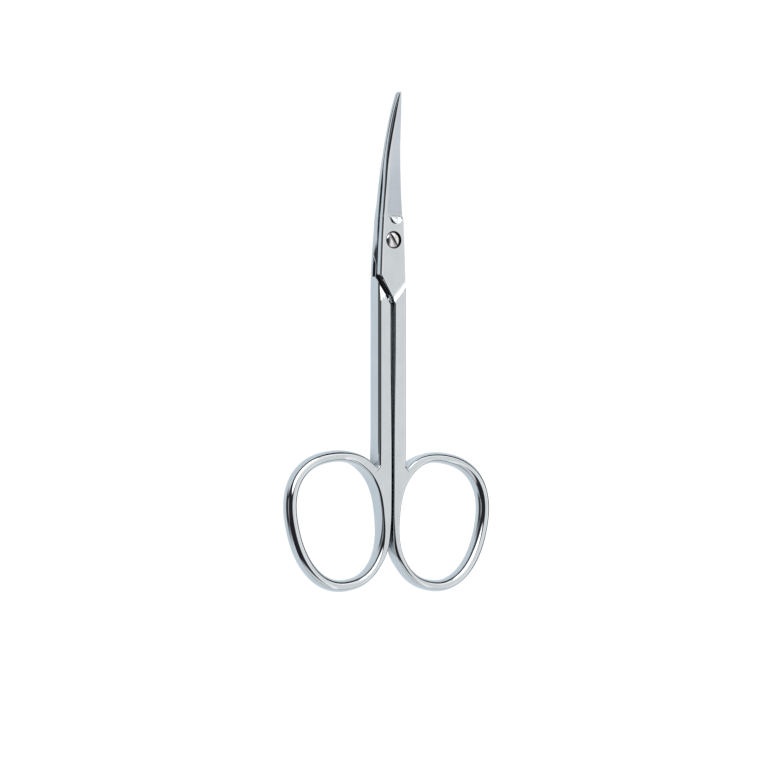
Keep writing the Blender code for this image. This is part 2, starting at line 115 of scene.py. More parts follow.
def smooth_step(low, high, value):
    """Eases from 0 to 1 as value goes from low to high."""
    share = min(max((value - low) / (high - low), 0.0), 1.0)
    return share * share * (3.0 - 2.0 * share)


def carried_side(y, forging):
    """Outer side of the forging, from the heel of the blade down past the joint."""
    if y >= 0.0:
        share = math.sin(math.pi / 2 * min(y / heel, 1.0))
        heel_side = heel_half_width + forging["edge_extra"]
        return pivot_half_width + (heel_side - pivot_half_width) * share
    share = math.sin(math.pi / 2 * min(-y / step_top, 1.0))
    return pivot_half_width + (forging["outer"] - pivot_half_width) * share


def shoulder_line(forging, clearance):
    """How far down the shank's slanted end starts and stops, away from the other plate."""
    run = shoulder_reach + forging["other_foot"]
    slope = (shoulder_foot - shoulder_top) / run
    corner = -shoulder_top - clearance * math.hypot(1.0, slope)
    return (corner + slope * (forging["inner"] - shoulder_reach),
            corner + slope * (forging["outer"] - shoulder_reach))


def ring_line(angle, forging):
    """Point on the middle of the ring's bar, and the unit vector out of the ring there."""
    points = []
    nudge = 0.001
    for turn in (angle, angle + nudge, angle - nudge):
        cosine, sine = math.cos(turn), math.sin(turn)
        reach = (abs(cosine / ring_half_width) ** ring_squareness
                 + abs(sine / ring_half_length) ** ring_squareness) ** (-1 / ring_squareness)
        along = reach * sine
        across = reach * cosine * (1.0 + ring_egg_share * along / ring_half_length)
        points.append(Vector((
            forging["ring_x"] + across * math.cos(ring_lean) + along * math.sin(ring_lean),
            along * math.cos(ring_lean) - across * math.sin(ring_lean) - ring_below_pivot, 0.0)))
    tangent = (points[1] - points[2]).normalized()
    return points[0], Vector((tangent.y, -tangent.x, 0.0))


def bar_at(angle, forging):
    """Half width and half thickness of the bar, and how far it has rounded off, at an angle."""
    root = ((1.0 - math.cos(angle)) / 2) ** 2
    half_width = bar_half_width + (forging["root"] - bar_half_width) * root
    half_thickness = bar_half_thickness + (root_half_thickness - bar_half_thickness) * root
    turn = math.degrees(angle) % 360
    flat = smooth_step(*flat_grows, turn) * (1.0 - smooth_step(*flat_fades, turn))
    half_thickness += (shank_half_thickness - half_thickness) * smooth_step(
        *thick_grows, turn) * (1.0 - smooth_step(*thick_fades, turn))
    return half_width, half_thickness, 1.0 - flat


def rail(wall, inward, crown, half_thickness, corner_x, corner_z):
    """Points over one side of the bar, from the crown of the front to the crown of the back."""
    half = []
    flat_edge = wall + inward * corner_x
    for share in crown_shares:
        point = crown.lerp(flat_edge, share)
        half.append(Vector((point.x, point.y, half_thickness)))
    for step in range(corner_points + 1):
        turn = math.pi / 2 * step / corner_points
        depth = corner_x * (1.0 - math.sin(turn))
        height = half_thickness - corner_z * (1.0 - math.cos(turn))
        point = wall + inward * depth
        half.append(Vector((point.x, point.y, height)))
    half.append(Vector((wall.x, wall.y, (half_thickness - corner_z) / 2)))
    back = [Vector((point.x, point.y, -point.z)) for point in reversed(half)]
    return half + back


def crotch_of(forging):
    """Angle at which the outside of the ring's bar meets the shank's outer side."""
    low, high = crotch_between
    for halving in range(40):
        angle = (low + high) / 2
        centre, outward = ring_line(angle, forging)
        if (centre + outward * bar_at(angle, forging)[0]).x > forging["outer"]:
            low = angle
        else:
            high = angle
    return low


def shank_rails(forging, crotch):
    """Rails down the gap side and down the far side, from the slanted end to the crotch."""
    inner, outer = forging["inner"], forging["outer"]
    middle = (inner + outer) / 2
    # The shank's end is cut at a slant, to clear the other half's plate
    shoulder_inner, shoulder_outer = shoulder_line(forging, 0.0)
    slope = (shoulder_outer - shoulder_inner) / (outer - inner)
    top_middle = (shoulder_inner + shoulder_outer) / 2
    bottom_middle = crotch.y + shank_foot_above_crotch
    gap_rails, far_rails = [], []
    for step in range(shank_stations + 1):
        share = step / shank_stations
        y = top_middle + (bottom_middle - top_middle) * share
        slant = slope * (1.0 - smooth_step(*slant_fades, share))
        crown = Vector((middle, y, 0.0))
        far = carried_side(y + slant * (outer - middle), forging)
        rounding = forging["wall_rounding"]
        depth = rounding + (shank_corner - rounding) * smooth_step(*outer_corner_settles, share)
        gap = forging["gap_corner"]
        gap += (root_corner - gap) * smooth_step(*gap_corner_settles, share)
        near = inner + forging["gap_relief"] * (1.0 - smooth_step(*gap_relief_fades, share))
        for wall_x, inward_x, corner_x, corner_z, rails in (
                (near, 1.0, gap, gap, gap_rails), (far, -1.0, shank_corner, depth, far_rails)):
            points = rail(Vector((wall_x, y, 0.0)), Vector((inward_x, 0.0, 0.0)), crown,
                          shank_half_thickness, corner_x, corner_z)
            rails.append([Vector((p.x, p.y + slant * (p.x - middle), p.z)) for p in points])
    return gap_rails, far_rails


def rounded_corner(flat, half_width, half_thickness, roundness):
    """Width and depth of the bar's corner, between the flat bar's and the round bar's."""
    return (flat + (half_width * bar_corner_share - flat) * roundness,
            flat + (half_thickness * bar_corner_share - flat) * roundness)


def outline_rails(forging, ring_angles, ring_crowns, crotch_angle):
    """Rails down the far side, round the crotch, round the ring and up the gap side.

    Each one comes with the name of the crown that it hangs from.
    """
    inner, outer = forging["inner"], forging["outer"]
    centre, outward = ring_line(crotch_angle, forging)
    crotch = centre + outward * bar_at(crotch_angle, forging)[0]
    gap_rails, far_rails = shank_rails(forging, crotch)
    outline = [(("shank", i), points) for i, points in enumerate(far_rails)]

    tangent = Vector((-outward.y, outward.x, 0.0)) * -1.0
    down = Vector((0.0, -1.0, 0.0))
    bend = math.acos(max(-1.0, min(1.0, down.dot(tangent))))
    setback = crotch_fillet * math.tan(bend / 2)
    start = Vector((outer, crotch.y + setback, 0.0))
    fillet_centre = start + Vector((crotch_fillet, 0.0, 0.0))
    corner = shank_corner * crotch_corner_share
    for step in range(fillet_steps + 1):
        turn = math.pi + bend * step / fillet_steps
        normal = Vector((math.cos(turn), math.sin(turn), 0.0))
        outline.append((("ring", 0), rail(
            fillet_centre + normal * crotch_fillet, normal, ring_crowns[0],
            shank_half_thickness, corner, corner)))
    crotch_wall = outline[-1][1][point_of_corner].x

    leftmost = min(range(ring_stations), key=lambda i: (
        ring_crowns[i] + ring_line(ring_angles[i], forging)[1]
        * bar_at(ring_angles[i], forging)[0]).x)
    for i in range(ring_stations - 1, 0, -1):
        crown, outward = ring_line(ring_angles[i], forging)
        half_width, half_thickness, roundness = bar_at(ring_angles[i], forging)
        wall = crown + outward * half_width
        inward = -outward
        settle = smooth_step(leftmost, leftmost + easing_stations, i)
        if i <= leftmost:
            wall = Vector((inner, crown.y, 0.0))
            inward = Vector((1.0, 0.0, 0.0))
        elif i < leftmost + easing_stations:
            wall.x = inner * (1.0 - settle) + wall.x * settle
            inward = (inward * settle + Vector((1.0 - settle, 0.0, 0.0))).normalized()
        if i > ring_stations - stations_by_crotch and wall.x < crotch_wall:
            # Behind the crotch only the crowns go on
            outline.append((("ring", i), [Vector((crown.x, crown.y, half_thickness)),
                                          Vector((crown.x, crown.y, -half_thickness))]))
            continue
        flat = root_corner + (shank_corner - root_corner) * settle
        corner_x, corner_z = rounded_corner(flat, half_width, half_thickness, roundness)
        outline.append((("ring", i), rail(
            wall, inward, crown, half_thickness, corner_x, corner_z)))
    outline.append((("ring", 0), rail(
        Vector((inner, ring_crowns[0].y, 0.0)), Vector((1.0, 0.0, 0.0)), ring_crowns[0],
        shank_half_thickness, root_corner, root_corner)))
    outline += [(("shank", i), gap_rails[i]) for i in range(len(gap_rails) - 1, -1, -1)]
    return outline


def hole_rails(forging, ring_angles):
    """Rails round the inside of the finger hole; the last one is the first one again."""
    hole = []
    for i, angle in enumerate(ring_angles):
        crown, outward = ring_line(angle, forging)
        half_width, half_thickness, roundness = bar_at(angle, forging)
        if i == 0:
            half_thickness = shank_half_thickness
        corner_x, corner_z = rounded_corner(shank_corner, half_width, half_thickness, roundness)
        hole.append((("ring", i), rail(
            crown - outward * half_width, outward, crown, half_thickness, corner_x, corner_z)))
    hole.append(hole[0])
    return hole


def made_object(bm, name):
    """Turns the faces outwards and puts the mesh into the scene as an object."""
    bmesh.ops.recalc_face_normals(bm, faces=bm.faces)
    mesh = bpy.data.meshes.new(name)
    bm.to_mesh(mesh)
    bm.free()
    item = bpy.data.objects.new(name, mesh)
    bpy.context.scene.collection.objects.link(item)
    return item


def shank_and_ring(forging):
    """Skins the rails along the outline and along the finger hole into one closed mesh."""
    crotch_angle = crotch_of(forging)
    ring_angles = [crotch_angle + math.tau * i / ring_stations for i in range(ring_stations)]
    ring_crowns = [ring_line(angle, forging)[0] for angle in ring_angles]
    outline = outline_rails(forging, ring_angles, ring_crowns, crotch_angle)
    hole = hole_rails(forging, ring_angles)
    bm = bmesh.new()
    made = {}

    def vertex(key, place):
        if key not in made:
            made[key] = bm.verts.new(place)
        return made[key]

    for run_name, rails in (("outline", outline), ("hole", hole)):
        columns = []
        for number, (crown_key, points) in enumerate(rails):
            if run_name == "hole" and number == len(rails) - 1:
                columns.append(columns[0])
                continue
            if len(points) == 2:
                # Behind the crotch the crowns fan out from one and the same wall
                columns.append([vertex((crown_key, "front"), points[0])] + columns[-1][1:-1]
                               + [vertex((crown_key, "back"), points[1])])
                continue
            last = len(points) - 1
            columns.append([
                vertex((crown_key, "front"), points[0]) if j == 0
                else vertex((crown_key, "back"), points[last]) if j == last
                else vertex((run_name, number, j), points[j]) for j in range(last + 1)])
        for left, right in zip(columns, columns[1:]):
            for j in range(len(left) - 1):
                corners = [left[j], left[j + 1], right[j + 1], right[j]]
                face = list(dict.fromkeys(corners))
                if len(face) > 2:
                    bm.faces.new(face)
        if run_name == "outline":
            bm.faces.new(columns[-1] + list(reversed(columns[0][1:-1])))
    return made_object(bm, "shank_and_ring")


# Joint plate and blade
# Above the shank the bar is hammered flat into the joint plate and drawn out into a blade,
# which is bent over a former: its mating face is a surface of revolution about the pivot.
# The outer face is ground thin towards the edge; the wheel runs out in a scoop at the heel.
mating_height = 0.06 * MM
plate_top = mating_height + 1.35 * MM
plate_point = -0.02 * MM
rear_point_foot = 11.3 * MM
plate_foot = -13.0 * MM
plate_edge = 0.13 * MM
free_half_width = 2.2 * MM
edge_undercut = 0.05 * MM
mating_inset = 0.01 * MM
# How far the foot stays inside the shank, over what length its outline jumps there, and
# a length too small to see
tuck = 0.004 * MM
jump = 0.01 * MM
touch = 0.001 * MM

tip = 26.6 * MM
tip_to_the_right = 0.19 * MM
tip_radius = 0.5 * MM
tip_fullness = 0.97
tip_spine_share = 0.45
tip_rise = 3.3 * MM
curve_start = 4.0 * MM
blade_grows = (heel - 1.0 * MM, heel + 1.0 * MM)
# Half widths as shares of the heel's, against the share of the way from heel to tip
blade_half_width_shares = ((0.0, 1.0), (0.1, 0.93), (0.2, 0.865), (0.4, 0.735), (0.6, 0.575),
                           (0.8, 0.37), (0.9, 0.235), (1.0, 0.06))

# Ground face: a land along the free side, then a slope down to the honed edge
spine_tip_thickness = 0.78 * MM
edge_tip_thickness = 0.3 * MM
land_width = 0.55 * MM
ground_depth_land = 0.05 * MM
ground_depth_edge = 0.2 * MM
ground_depth_power = 0.8
steepest_grind = 0.2
narrowest_ground = 0.05 * MM
rear_grind_fade = 2.5 * MM
hone_width = 0.16 * MM
hone_steps = 4
hone_step_share = 0.04
hone_flank_share = 0.2
honed_flank_share = 0.75

# Long corner over the free side: it grows towards the tip and is flatter halfway
free_corner_width = 0.26 * MM
free_corner_depth = 0.42 * MM
tip_corner_width = 0.29 * MM
tip_corner_depth = 0.38 * MM
flatter_width = 0.12 * MM
flatter_depth = 0.22 * MM
widest_corner_share = 0.7
deepest_corner_share = 0.8
corner_foot_share = 0.6
corner_grows = (0.1, 0.8)
flatter_grows, flatter_fades = (6.0 * MM, 13.0 * MM), (15.0 * MM, 22.0 * MM)
free_side_hollow = 0.2 * MM
hollow_grows, hollow_fades = (-1.0 * MM, 6.0 * MM), (9.0 * MM, 16.0 * MM)

# Other side: it leans in, more beside the other half's plate, where a rabbet is cut as well
blade_lean = 0.1 * MM
lean_fades = (14.0 * MM, 22.0 * MM)
ledge_width = 0.14 * MM
least_lean = 0.03 * MM
flank_height = 1.1 * MM
flank_points = ((0.0, 1.0), (0.1, 0.82), (0.3, 0.6), (0.5, 0.4), (0.75, 0.2), (1.0, 0.0))
rabbet_height = 0.64 * MM
rabbet_width = 0.3 * MM
rabbet_top = -2.2 * MM
rabbet_full = -4.6 * MM

# Scoop: a ramp with a curved foot and a steep wall above it
scoop_top = 4.2 * MM
scoop_wall = 0.3 * MM
scoop_foot = 2.84 * MM
scoop_left_end, scoop_left_run = -0.6 * MM, 1.3 * MM
scoop_right_end, scoop_right_run = 2.05 * MM, 1.2 * MM
scoop_slope = 0.5
scoop_bend = 0.125 / MM

# Sections from the plate's point to its widest, to the pivot, to the scoop, past it and
# to the tip, and the number in the list of finishes of the ground steel
shoulder_stations, joint_stations, heel_stations = 12, 10, 8
scoop_stations, blade_stations = 56, 90
scoop_stations_from, scoop_stations_to = 2.4 * MM, 5.2 * MM
free_corner_steps = 8
grind_steps = 36
mating_steps = 7
ground_finish = 1


def rise(x, y):
    """Height of the bent mating face, which depends on the distance from the pivot alone."""
    radius = math.hypot(x, y)
    if y <= 0.0 or radius <= curve_start:
        return 0.0
    return tip_rise * ((radius - curve_start) / (tip - curve_start)) ** 2


def blade_half_width(share):
    """Smooth curve through the half widths, as in a row of measured stations."""
    table = blade_half_width_shares
    last = len(table) - 1
    slopes = []
    for i in range(last + 1):
        before, after = table[max(i - 1, 0)], table[min(i + 1, last)]
        slopes.append((after[1] - before[1]) / (after[0] - before[0]))
    i = 0
    while i < last - 1 and share > table[i + 1][0]:
        i += 1
    span = table[i + 1][0] - table[i][0]
    u = (share - table[i][0]) / span
    start = (2 * u**3 - 3 * u**2 + 1) * table[i][1] + (u**3 - 2 * u**2 + u) * span * slopes[i]
    end = (3 * u**2 - 2 * u**3) * table[i + 1][1] + (u**3 - u**2) * span * slopes[i + 1]
    return heel_half_width * (start + end)


def free_side(y, forging):
    """Side of the joint plate away from its own shank, down to the plate's point."""
    if y >= 0.0:
        return -free_half_width + (free_half_width - heel_half_width) * y / heel
    if y >= -shoulder_top:
        return -free_half_width - (shoulder_reach - free_half_width) * -y / shoulder_top
    share = (-y - shoulder_top) / (shoulder_foot - shoulder_top)
    return -shoulder_reach + (plate_point + shoulder_reach) * share


def plate_stations():
    """Places of the sections, from the foot in the shank up; they are closest at the scoop."""
    stations = [plate_foot, -rear_point_foot - jump, -rear_point_foot, -shoulder_foot - jump]
    stations += [-shoulder_foot + (shoulder_foot - shoulder_top) * i / shoulder_stations
                 for i in range(shoulder_stations + 1)]
    for start, end, count in ((-shoulder_top, 0.0, joint_stations),
                              (0.0, scoop_stations_from, heel_stations),
                              (scoop_stations_from, scoop_stations_to, scoop_stations)):
        stations += [start + (end - start) * i / count for i in range(1, count + 1)]
    stations += [scoop_stations_to + (tip - scoop_stations_to)
                 * math.sin(math.pi / 2 * i / blade_stations)
                 for i in range(1, blade_stations + 1)]
    return stations


def scooped(x, y, spine, height):
    """Height of the outer face after the wheel's run-out at the heel."""
    run = min(max((x - scoop_left_end) / scoop_left_run, 0.0), 1.0)
    run *= min(max((scoop_right_end - x) / scoop_right_run, 0.0), 1.0)
    foot = scoop_foot + (scoop_top - scoop_foot) * (1.0 - math.sqrt(run * (2.0 - run)))
    if foot < y < scoop_top + scoop_wall and scoop_left_end < x < scoop_right_end:
        up = min(y, scoop_top) - foot
        deep = scoop_slope * up - scoop_bend * up * up
        climb = max(y - scoop_top, 0.0) / scoop_wall
        height = min(height, spine - deep * (1.0 - climb * climb))
    return height


def plate_and_blade(forging):
    """One closed skin from below the step up to the rounded tip."""
    side = forging["side"]
    stations = plate_stations()
    sections = []
    for y in stations:
        blade = smooth_step(*blade_grows, y)
        along = max((y - heel) / (tip - heel), 0.0)
        free, carried = free_side(min(y, heel), forging), carried_side(y, forging)
        half_width = blade_half_width(along)
        nose = 1.0
        if tip - y < tip_radius:
            nose = math.sqrt(1.0 - tip_fullness * (1.0 - (tip - y) / tip_radius) ** 2)
            half_width *= nose
        scale = half_width / heel_half_width
        if y > heel:
            lean = side * tip_to_the_right * (1.0 - scale)
            free, carried = lean - half_width, lean + half_width + forging["edge_extra"] * scale
        if y < -shoulder_foot:
            # Inside the shank; the rear plate's point goes on under the front shank
            free, carried = forging["inner"] + tuck, forging["outer"] - tuck
            if y < -shoulder_foot - 2 * jump:
                free += forging["gap_relief"]
            if side < 0 and y > -rear_point_foot - jump / 2:
                free = plate_point
        if y < -step_top:
            carried -= tuck

        thickness = plate_top - mating_height
        spine = (thickness + (spine_tip_thickness - thickness) * along) * (
            tip_spine_share + (1.0 - tip_spine_share) * nose)
        land_depth = ground_depth_land * (1.0 - along)
        edge_depth = ground_depth_edge + (spine_tip_thickness - edge_tip_thickness
                                          - ground_depth_edge) * along ** ground_depth_power
        grown = smooth_step(*corner_grows, along)
        flatter = smooth_step(*flatter_grows, y) * (1.0 - smooth_step(*flatter_fades, y))
        corner_width = min(free_corner_width + tip_corner_width * grown
                           + flatter_width * flatter, half_width * widest_corner_share)
        corner_depth = min(free_corner_depth + tip_corner_depth * grown
                           - flatter_depth * flatter, spine * deepest_corner_share) * nose
        free += free_side_hollow * smooth_step(*hollow_grows, y) * (
            1.0 - smooth_step(*hollow_fades, y))
        hone = hone_width * scale * blade
        land = free + corner_width + land_width * scale
        right_top = carried - hone - plate_edge * (1.0 - blade)
        edge_depth = min(edge_depth, land_depth + steepest_grind * max(right_top - land, 0.0))

        other = -free_side(max(y, -shoulder_top), forging)
        lean_in = max(carried - other - ledge_width, least_lean) * (1.0 - blade)
        lean_in += blade_lean * blade * (1.0 - smooth_step(*lean_fades, y))
        flank = rabbet_height + (flank_height - rabbet_height) * smooth_step(
            rabbet_full, rabbet_top, y)
        under = edge_undercut * scale

        def top(x):
            height = spine
            if y > scoop_top and x > land - touch:
                across = min((x - land) / max(right_top - land, narrowest_ground), 1.0)
                depth = land_depth + (edge_depth * nose - land_depth) * across
                if side < 0:
                    depth *= smooth_step(scoop_top, scoop_top + rear_grind_fade, y)
                height = min(height, spine - depth)
            return scooped(x, y, spine, height)

        row = [(free + under, 0.0), (free, under),
               (free, (spine - corner_depth) * corner_foot_share)]
        for step in range(free_corner_steps + 1):
            turn = math.pi / 2 * step / free_corner_steps
            row.append((free + corner_width * (1.0 - math.cos(turn)),
                        spine - corner_depth * (1.0 - math.sin(turn))))
        row.append((land - 2 * touch, spine))
        first_ground = len(row)
        for step in range(grind_steps + 1):
            x = land + (right_top - land) * step / grind_steps
            row.append((x, top(x)))
        right = top(right_top)
        for step in range(1, hone_steps + 1):
            turn = math.pi / 2 * step / hone_steps
            drop = plate_edge * (1.0 - math.cos(turn)) * (1.0 - blade)
            shift = plate_edge * math.sin(turn) * (1.0 - blade)
            row.append((right_top + shift + hone * hone_step_share * step,
                        right - drop - right * hone_step_share * step * blade))
        for share, height in flank_points:
            row.append((carried - lean_in * share - hone * hone_flank_share * height,
                        height * (flank * (1.0 - blade) + right * honed_flank_share * blade)))
        first_mating = len(row) - 1
        inside = carried - mating_inset * scale - lean_in
        for step in range(mating_steps):
            row.append((inside + (free + under - inside) * step / mating_steps, 0.0))
        shift = forging["from_screw"]
        sections.append([Vector((x, y, mating_height + z + side * rise(x + shift, y)))
                         for x, z in row])

    bm = bmesh.new()
    rows = [[bm.verts.new(point) for point in section] for section in sections]
    count = len(rows[0])
    for y, before, after in zip(stations, rows, rows[1:]):
        for j in range(count):
            face = bm.faces.new((before[j], before[(j + 1) % count], after[(j + 1) % count],
                                 after[j]))
            if (first_mating <= j < first_mating + mating_steps
                    or (y > scoop_top + scoop_wall
                        and first_ground <= j < first_ground + grind_steps)):
                face.material_index = ground_finish
    bm.faces.new(rows[0])
    bm.faces.new(rows[-1])
    return made_object(bm, "plate_and_blade")


# Milling and drilling
# A round-nosed cutter takes the shank's end down to the joint plate in a hollow step, and a
# sloping shoulder is cut clear of the other half's plate. The screw hole is drilled through,
# with a flat seat sunk into the front plate for the head.
step_fillet = 1.4 * MM
step_sink = 0.005 * MM
shoulder_clearance = 0.55 * MM
shoulder_slope = math.radians(22.0)
shoulder_lip = 0.1 * MM
shoulder_fillet = 0.3 * MM
facet_inner = 1.2 * MM
facet_inner_y = -9.79 * MM
facet_outer_y = -10.9 * MM
facet_slope = math.radians(28.0)
facet_margin = 0.28 * MM
rabbet_foot = -6.7 * MM
shaft_hole_radius = 1.01 * MM
head_seat_radius = 1.6 * MM
head_seat_depth = 0.74 * MM
# How far the cutters reach past the work, and how they lead out of it
cutter_reach = 9.0 * MM
wheel_reach = 8.0 * MM
overrun = 2.0 * MM
lead_out = 0.02 * MM
lead_rise = 0.03 * MM
lead_run = 0.3 * MM
step_steps, fillet_turns, lip_turns, rabbet_steps = 14, 6, 8, 12
round_steps = 96
sharp_from = math.radians(30)
# Number of the material with painted shade, near black, that the cut faces of the holes and
# shoulders get
painted_shade_finish = 2


def closed_prism(name, outline, low, high, axis_turn=None, finish=0):
    """A flat outline of (x, y) points between two heights, as a cutter.

    Finish is the number of the material that the cut faces get.
    """
    bm = bmesh.new()
    bottom = [bm.verts.new((x, y, low)) for x, y in outline]
    top = [bm.verts.new((x, y, high)) for x, y in outline]
    for i in range(len(outline)):
        j = (i + 1) % len(outline)
        bm.faces.new((bottom[i], bottom[j], top[j], top[i]))
    bm.faces.new(bottom)
    bm.faces.new(top)
    if axis_turn is not None:
        bmesh.ops.transform(bm, matrix=axis_turn, verts=bm.verts)
    for face in bm.faces:
        face.material_index = finish
    return made_object(bm, name)


def slanted_cutter(name, profile, forging, inner_y, outer_y, finish=0):
    """Sweeps a profile of (across, up) points along a slanted line over the forging."""
    along = Vector((forging["outer"] - forging["inner"], outer_y - inner_y, 0.0)).normalized()
    up = Vector((0.0, 0.0, 1.0))
    across = up.cross(along)
    turn = Matrix((across, up, across.cross(up))).transposed().to_4x4()
    place = Matrix.Translation((forging["outer"], outer_y, 0.0)) @ turn
    return closed_prism(name, profile, -cutter_reach, cutter_reach, place, finish)


def step_cutter(forging):
    """The hollow step, which runs out into the plate's face without an edge."""
    bend = math.acos(1.0 - (shank_half_thickness - plate_top + step_sink) / step_fillet)
    top = shank_half_thickness + overrun
    profile = [(cutter_reach, top), (-lead_run, top),
               (-lead_out, shank_half_thickness + lead_rise)]
    for step in range(step_steps + 1):
        turn = bend * (1.0 - step / step_steps)
        profile.append((step_fillet * (math.sin(bend) - math.sin(turn)),
                        plate_top + step_fillet * (1.0 - math.cos(turn)) - step_sink))
    profile.append((cutter_reach, plate_top - step_sink))
    return slanted_cutter("step_cutter", profile, forging, -step_foot, -step_top)


def shoulder_cutter(forging):
    """All below the mating face, with a fillet at the foot and a rounded lip at the top."""
    lean = math.tan(shoulder_slope)
    swing = math.pi / 2 - shoulder_slope
    profile = [(cutter_reach, mating_height)]
    setback = shoulder_fillet * math.tan(swing / 2)
    for step in range(fillet_turns + 1):
        turn = swing * step / fillet_turns
        profile.append((setback - shoulder_fillet * math.sin(turn),
                        mating_height - shoulder_fillet * (1.0 - math.cos(turn))))
    lip_setback = shoulder_lip * math.tan(swing / 2)
    lip_x = -lean * (shank_half_thickness + mating_height)
    for step in range(lip_turns + 1):
        turn = swing * (1.0 - step / lip_turns)
        profile.append((lip_x - lip_setback + shoulder_lip * math.sin(turn),
                        -shank_half_thickness + shoulder_lip * (1.0 - math.cos(turn))))
    profile += [(lip_x - lip_setback - lead_run, -shank_half_thickness - lead_rise),
                (lip_x - overrun, -shank_half_thickness - overrun),
                (cutter_reach, -shank_half_thickness - overrun)]
    inner_y, outer_y = shoulder_line(forging, shoulder_clearance)
    return slanted_cutter("shoulder_cutter", profile, forging, inner_y, outer_y, painted_shade_finish)


def corner_cutter(forging):
    """A ground facet that takes the corner off the shank where it ends in the shoulder."""
    along = Vector((forging["outer"] - facet_inner, facet_outer_y - facet_inner_y, 0.0))
    along.normalize()
    level = Vector((-along.y, along.x, 0.0))
    normal = level * math.sin(facet_slope) - Vector((0.0, 0.0, math.cos(facet_slope)))
    turn = Matrix((along, normal.cross(along), normal)).transposed().to_4x4()
    place = Matrix.Translation((facet_inner, facet_inner_y, -shank_half_thickness)) @ turn
    # Its end stops short of the rounded outer side
    end = (forging["outer"] - facet_margin - facet_inner) / along.x
    lean = along.y / along.x
    outline = [(-wheel_reach, -wheel_reach), (end + wheel_reach * lean, -wheel_reach),
               (end - wheel_reach * lean, wheel_reach), (-wheel_reach, wheel_reach)]
    return closed_prism("corner_cutter", outline, 0.0, wheel_reach, place)


def rabbet_cutter(forging):
    """The narrow step along the side of the joint plate, which runs out beside the screw."""
    outline = [(wheel_reach, rabbet_foot), (wheel_reach, rabbet_top)]
    for i in range(rabbet_steps + 1):
        y = rabbet_top + (rabbet_foot - rabbet_top) * i / rabbet_steps
        share = 1.0 - smooth_step(rabbet_full, rabbet_top, y)
        outline.append((carried_side(y, forging) + lead_out
                        - (rabbet_width + lead_out) * share, y))
    return closed_prism("rabbet_cutter", outline, -overrun, mating_height + rabbet_height)


def circle(radius):
    """Points round the pivot."""
    return [(radius * math.cos(math.tau * i / round_steps),
             radius * math.sin(math.tau * i / round_steps)) for i in range(round_steps)]


def hole_cutter(radius, low, high):
    """The drill, or the flat-nosed cutter that sinks the seat."""
    return closed_prism("hole_cutter", circle(radius), low, high, finish=painted_shade_finish)


def combine(item, other, operation):
    """Joins or cuts item with other, which is used up."""
    modifier = item.modifiers.new("combine", "BOOLEAN")
    modifier.operation = operation
    modifier.solver = "EXACT"
    modifier.object = other
    bpy.context.view_layer.update()
    evaluated = item.evaluated_get(bpy.context.evaluated_depsgraph_get())
    mesh = bpy.data.meshes.new_from_object(evaluated)
    item.modifiers.clear()
    item.data = mesh
    bpy.data.objects.remove(other, do_unlink=True)


def machined_half(name, forging, finishes):
    """Forging, milled step, blade and screw hole, put in its place in the scissors."""
    item = shank_and_ring(forging)
    for finish in finishes:
        item.data.materials.append(finish)
    combine(item, step_cutter(forging), "DIFFERENCE")
    combine(item, corner_cutter(forging), "DIFFERENCE")
    combine(item, shoulder_cutter(forging), "DIFFERENCE")
    combine(item, plate_and_blade(forging), "UNION")
    combine(item, rabbet_cutter(forging), "DIFFERENCE")
    item.data.transform(Matrix.Translation((forging["from_screw"], 0.0, 0.0)))
    combine(item, hole_cutter(shaft_hole_radius, -overrun, plate_top + overrun), "DIFFERENCE")
    if forging["side"] > 0:
        seat = hole_cutter(head_seat_radius, plate_top - head_seat_depth, plate_top + overrun)
        combine(item, seat, "DIFFERENCE")
    turn = Matrix.Identity(4) if forging["side"] > 0 else Matrix.Rotation(math.pi, 4, "Y")
    item.data.transform(Matrix.Translation(pivot) @ turn)
    item.name = name
    item.data.name = name
    item.data.shade_smooth()
    item.data.set_sharp_from_angle(angle=sharp_from)
    even = item.modifiers.new("even normals", "WEIGHTED_NORMAL")
    even.keep_sharp = True
    even.weight = 80
    return item


# Finishes
# The polished forgings are plated bright. The blades' ground and mating faces keep the fine
# lines of the wheel, and the drilled holes and the cut shoulders get a near-black painted shade.
cloud_scale = 260.0
cloud_share, grain_share = 0.6, 0.4
tint_fades, dark_tint = (0.3, 0.7), 0.93
grain_height = 0.02 * MM


class Value:
    """A shader socket that can be used in sums."""

    def __init__(self, tree, socket):
        self.tree = tree
        self.socket = socket

    def node(self, kind, settings=None, **inputs):
        made = self.tree.nodes.new(kind)
        for key, value in (settings or {}).items():
            setattr(made, key, value)
        for key, value in inputs.items():
            place = made.inputs[int(key[1:])] if key[1:].isdigit() else made.inputs[
                key.replace("_", " ")]
            if isinstance(value, Value):
                self.tree.links.new(value.socket, place)
            else:
                place.default_value = value
        return made

    def take(self, made, output=0):
        return Value(self.tree, made.outputs[output])

    def maths(self, operation, *values):
        inputs = {"i%d" % i: value for i, value in enumerate(values)}
        return self.take(self.node("ShaderNodeMath", {"operation": operation}, **inputs))

    def __add__(self, other):
        return self.maths("ADD", self, other)

    __radd__ = __add__

    def __sub__(self, other):
        return self.maths("SUBTRACT", self, other)

    def __rsub__(self, other):
        return self.maths("SUBTRACT", other, self)

    def __mul__(self, other):
        return self.maths("MULTIPLY", self, other)

    __rmul__ = __mul__

    def between(self, low, high):
        """Eases from 0 to 1 as this goes from low to high."""
        made = self.node("ShaderNodeMapRange", {"interpolation_type": "SMOOTHSTEP"},
                         Value=self, From_Min=low, From_Max=high)
        return self.take(made)

    def mix(self, first, second):
        """A colour between two, by this factor."""
        made = self.node("ShaderNodeMix", {"data_type": "RGBA"}, i0=self, i6=first, i7=second)
        return self.take(made, 2)


